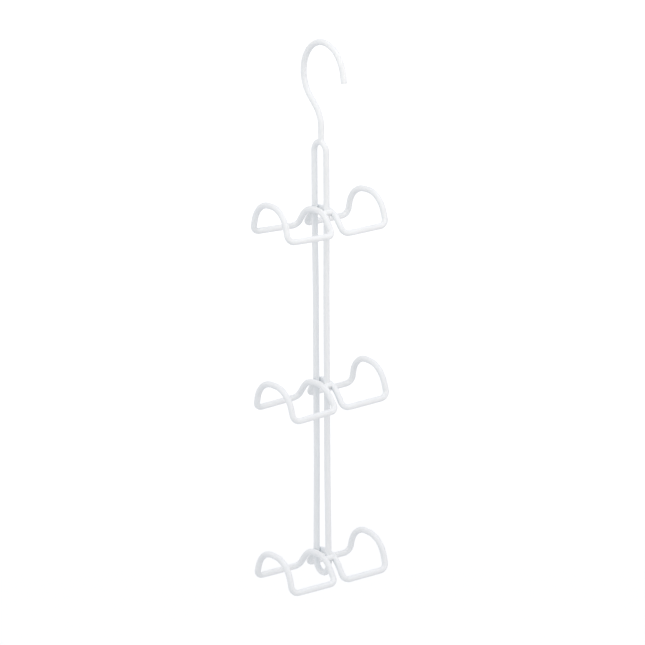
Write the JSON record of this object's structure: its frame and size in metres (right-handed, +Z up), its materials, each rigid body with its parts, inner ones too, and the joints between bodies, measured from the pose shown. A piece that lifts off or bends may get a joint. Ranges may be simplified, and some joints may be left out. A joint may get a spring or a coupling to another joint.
{
  "type": "bag hook rack",
  "caption": "Hanging rack of coated steel wire: a question-mark hook over a long looped spine, with tiers of paired saddle loops that hold bags by their straps.",
  "frame": {"origin": "point inside the crown of the hook that sits on top of the rod", "axes": "+Z up; the rod lies along X; the hook opens to the front, -Y; saddles reach out to -X and +X"},
  "size_m": [0.1267, 0.0794, 0.5572],
  "materials": {
    "hook": "satin white powder coat",
    "spine": "satin white powder coat",
    "saddle_left_top": "satin white powder coat",
    "saddle_right_top": "satin white powder coat",
    "saddle_left_middle": "satin white powder coat",
    "saddle_right_middle": "satin white powder coat",
    "saddle_left_bottom": "satin white powder coat",
    "saddle_right_bottom": "satin white powder coat"
  },
  "bodies": {
    "root": {"hook": "hook", "spine": "spine", "saddle_left_top": "saddle_left_top", "saddle_right_top": "saddle_right_top", "saddle_left_middle": "saddle_left_middle", "saddle_right_middle": "saddle_right_middle", "saddle_left_bottom": "saddle_left_bottom", "saddle_right_bottom": "saddle_right_bottom"}
  },
  "joints": []
}
